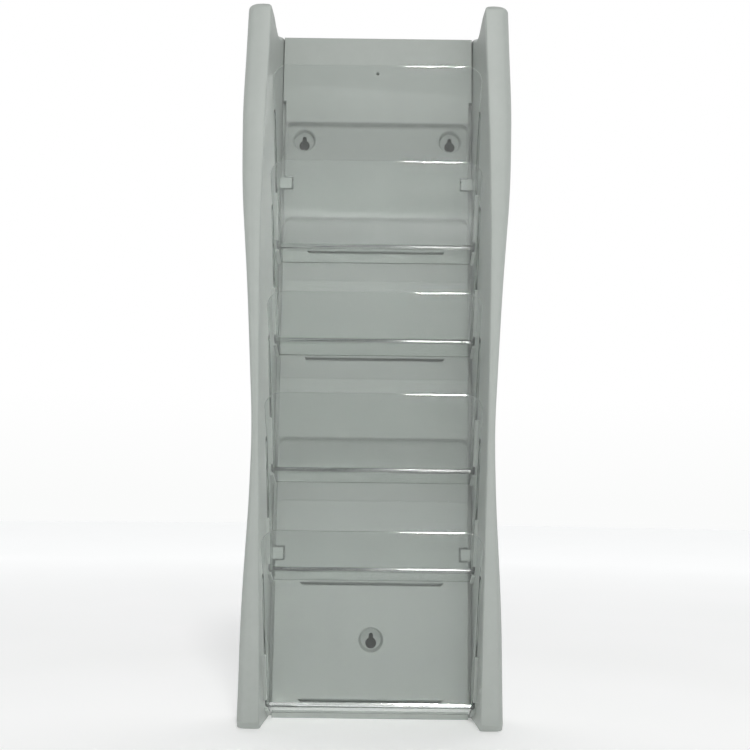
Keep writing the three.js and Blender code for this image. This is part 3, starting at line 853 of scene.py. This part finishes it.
# ---- Trays ----
def tray(name, index):
    """A clear pocket: leaning pane with round top corners, sloping floor and two side walls."""
    foot = bend_height(index)
    clear = 1.1

    def half(w):
        return inner_wall(w) - clear
    bm = bmesh.new()
    w, z = along_pane(index, 150.0, 0)
    sides = {}
    for s in (-1, 1):
        sides[s] = [bm.verts.new(place(s * half(at), at, up)) for at, up in (
            (FLOOR_REAR, foot - FLOOR_FALL), (BEND_W, foot), (w, z), (FLOOR_REAR, foot + 13.0))]
        bm.faces.new(sides[s])
    centre = half(along_pane(index, PANE_LENGTH, 0)[0]) - PANE_CORNER
    low_half = half(along_pane(index, PANE_LENGTH - PANE_CORNER, 0)[0])
    arcs = {}
    for s in (-1, 1):
        arcs[s] = []
        for t in quarter(13):
            across = low_half if t == 0 else centre + PANE_CORNER * math.cos(t)
            w, z = along_pane(index, PANE_LENGTH - PANE_CORNER * (1 - math.sin(t)), 0)
            arcs[s].append(bm.verts.new(place(s * across, w, z)))
    left, right = sides[-1], sides[1]
    bm.faces.new([left[1], right[1], right[2], *arcs[1], *reversed(arcs[-1]), left[2]])
    bm.faces.new((left[0], right[0], right[1], left[1]))
    turn_forward(bm, lambda: max(bm.faces, key=lambda f: f.calc_area()).normal.y)
    weights = bm.edges.layers.float.new("bevel_weight_edge")
    bend_y = FACE_Y - BEND_W * MM
    for edge in bm.edges:
        at_bend = all(abs(v.co.y - bend_y) < 0.001 for v in edge.verts)
        if not edge.is_boundary:
            edge[weights] = 1.0 if at_bend else 0.4
    obj = finished(name + "_shell", bm, [tray_clear, tray_edge], 180)
    bends = obj.modifiers.new("bends", "BEVEL")
    bends.width = 3.0 * MM
    bends.segments = 7
    bends.limit_method = "WEIGHT"
    bends.offset_type = "OFFSET"
    bends.use_clamp_overlap = False
    thicken(obj, TRAY_WALL, 1)
    soften(obj, 0.85, 55, 4).use_clamp_overlap = False
    settle(obj, 60)
    # The rear edges against the sheet get the near-black material: painted shade.
    obj.data.materials.append(tray_rear_shade)
    for polygon in obj.data.polygons:
        if FACE_Y - polygon.center.y < (FLOOR_REAR + 0.95) * MM:
            polygon.material_index = 2
    return obj


def foot_lip(name, index):
    """The rounded lip moulded along the front of a tray's bend, short of the rails."""
    half = inner_wall(BEND_W) - 5.8
    foot = bend_height(index)
    radius, nose = 11.0, 0.7
    high, low = math.radians(34), math.radians(12)
    top_w, top_z = along_pane(index, 4.6, 0.1)

    def arc(w, z, r, angles):
        return [(w + r * math.cos(t), z + r * math.sin(t)) for t in angles]
    outline = arc(top_w - radius * math.cos(high), top_z - radius * math.sin(high), radius,
                  np.linspace(high, low, 9))
    end_w, end_z = outline[-1]
    outline += arc(end_w - nose * math.cos(low), end_z - nose * math.sin(low), nose,
                   np.radians([-8, -30, -54, -78, -100]))
    outline += [(BEND_W + 0.35, foot - 0.25), (BEND_W + 0.16, foot + 0.35),
                along_pane(index, 4.3, 0.06)]
    bm = bmesh.new()
    prism(bm, *([place(x, w, z) for w, z in outline] for x in (-half, half)))
    return finished(name, bm, [tray_edge], 35)


clear_pieces = []
for index, name in enumerate(TRAYS):
    shell = tray(name, index)
    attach(shell, name)
    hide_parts(name)
    line = foot_lip(name + "_foot_lip", index)
    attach(line, name)
    clear_pieces += [shell, line]
# The sheet behind the panes is lit as if they weren't there.
for piece in clear_pieces:
    piece.visible_shadow = piece.visible_diffuse = False


# ---- Stage, light and camera; lengths here are in metres ----
def studio_floor():
    """A pale floor that glows a little more far away, so its horizon nearly vanishes."""
    bm = bmesh.new()
    bmesh.ops.create_circle(bm, cap_ends=True, segments=96, radius=9.0)
    material, tree, shader, coords = new_material("studio_floor", {
        "Roughness": 0.9, "Specular IOR Level": 0.1, "Emission Strength": 1.0})
    patch = ramp(tree, noise(tree, coords, 3.0, 2.0), 0.3, 0.7, 0.0, 1.0)
    pale = blend(tree, patch, (0.86, 0.865, 0.86), (0.89, 0.89, 0.89))
    tree.links.new(pale, shader.inputs["Base Color"])
    reach = node(tree, "ShaderNodeVectorMath", operation="LENGTH")
    tree.links.new(coords, reach.inputs[0])
    far = ramp(tree, reach.outputs["Value"], 0.6, 3.0, 0.0, 1.0)
    glow = blend(tree, far, (0.25, 0.25, 0.25), (0.47, 0.475, 0.475))
    tree.links.new(glow, shader.inputs["Emission Color"])
    return finished("studio_floor", bm, [material])


def wall_patches():
    """The bits of wall the sorter hangs on that show through its keyholes, near black: painted
    shade, for the wall in the sorter's shadow.
    """
    bm = bmesh.new()
    radius, drop = 9.6, 1.4
    for cx, cz in KEYHOLES:
        prism(bm, *([place(cx + radius * math.sin(t), w, cz - drop + radius * math.cos(t))
                     for t in around(40)] for w in (-WALL_GAP - 0.3, -WALL_GAP - 0.8)))
    # Painted shade: near black, as the wall behind the keyholes lies in shadow.
    wall = moulded_plastic("wall_painted_shade", (0.05, 0.052, 0.05), 0.9, 0.8)
    return finished("wall_patches", bm, [wall], 40)


def sky():
    """White behind the object, and a dim grey behind the camera, which the panes mirror."""
    world = bpy.data.worlds.new("studio")
    bpy.context.scene.world = world
    world.use_nodes = True
    tree = world.node_tree
    split = node(tree, "ShaderNodeSeparateXYZ")
    tree.links.new(node(tree, "ShaderNodeTexCoord").outputs["Generated"], split.inputs["Vector"])
    behind = ramp(tree, split.outputs["Y"], -0.10, 0.60, 0.0, 1.0)
    above = ramp(tree, split.outputs["Z"], 0.0, 0.10, 0.0, 1.0)
    white = blend(tree, above, (0.96, 0.965, 0.96), (1.0, 1.0, 1.0))
    background = tree.nodes["Background"]
    tree.links.new(blend(tree, behind, (0.24, 0.245, 0.25), white), background.inputs["Color"])
    background.inputs["Strength"].default_value = 1.0


def softbox(name, position, target, size, power, colour=(1.0, 1.0, 1.0), lit=(), seen=True):
    """A rectangular lamp. Pieces given as lit are the only ones it lights, and only their gloss;
    a lamp that isn't seen has no mirror image."""
    data = bpy.data.lights.new(name, "AREA")
    data.shape = "RECTANGLE"
    data.size, data.size_y = size
    data.energy = power
    data.color = colour
    lamp = bpy.data.objects.new(name, data)
    bpy.context.scene.collection.objects.link(lamp)
    lamp.location = position
    lamp.visible_transmission = False
    lamp.visible_glossy = seen
    if lit:
        lamp.visible_diffuse = False
        group = bpy.data.collections.new(name + "_lit")
        for obj in lit:
            group.objects.link(obj)
        lamp.light_linking.receiver_collection = group
    aim = Vector(target) - Vector(position)
    lamp.rotation_euler = aim.to_track_quat("-Z", "Y").to_euler()


def photo_camera():
    """The camera fitted to the photograph's outline: its place, tilt up and roll."""
    data = bpy.data.cameras.new("camera")
    data.lens, data.sensor_width = 48.0, 36.0
    data.clip_start, data.clip_end = 0.05, 60.0
    camera = bpy.data.objects.new("camera", data)
    bpy.context.scene.collection.objects.link(camera)
    tilt, roll = math.radians(90 + 7.13), math.radians(0.71)
    across, ahead, height = 0.00104, 1.1233, 0.2358
    camera.matrix_world = (Matrix.Translation((across, FACE_Y - ahead, height))
                           @ Matrix.Rotation(tilt, 4, "X") @ Matrix.Rotation(roll, 4, "Z"))
    bpy.context.scene.camera = camera


floor = studio_floor()
floor.visible_glossy = False
wall_patches()
sky()

middle, ground = (0.0, 0.0, 0.40), (0.0, 0.0, 0.0)
warm, white = (1.0, 0.995, 0.98), (1.0, 1.0, 1.0)
softbox("key", (0.24, -2.10, 2.50), middle, (0.26, 0.60), 25.0, warm)
softbox("low", (0.10, -1.30, 0.16), (0.0, 0.0, 0.05), (0.7, 0.25), 2.0, seen=False)
softbox("fill", (0.45, -2.30, 0.20), middle, (1.4, 0.9), 9.0, seen=False)
softbox("overhead", (0.2, 0.2, 3.4), ground, (3.0, 3.0), 8.0, seen=False)
softbox("glint", (0.26, -2.15, 2.52), middle, (0.27, 1.10), 520.0, warm, clear_pieces)
softbox("side_glint", (1.15, -1.25, 2.05), middle, (0.8, 0.8), 260.0, white, clear_pieces)
photo_camera()
bpy.context.scene.view_settings.view_transform = "Standard"
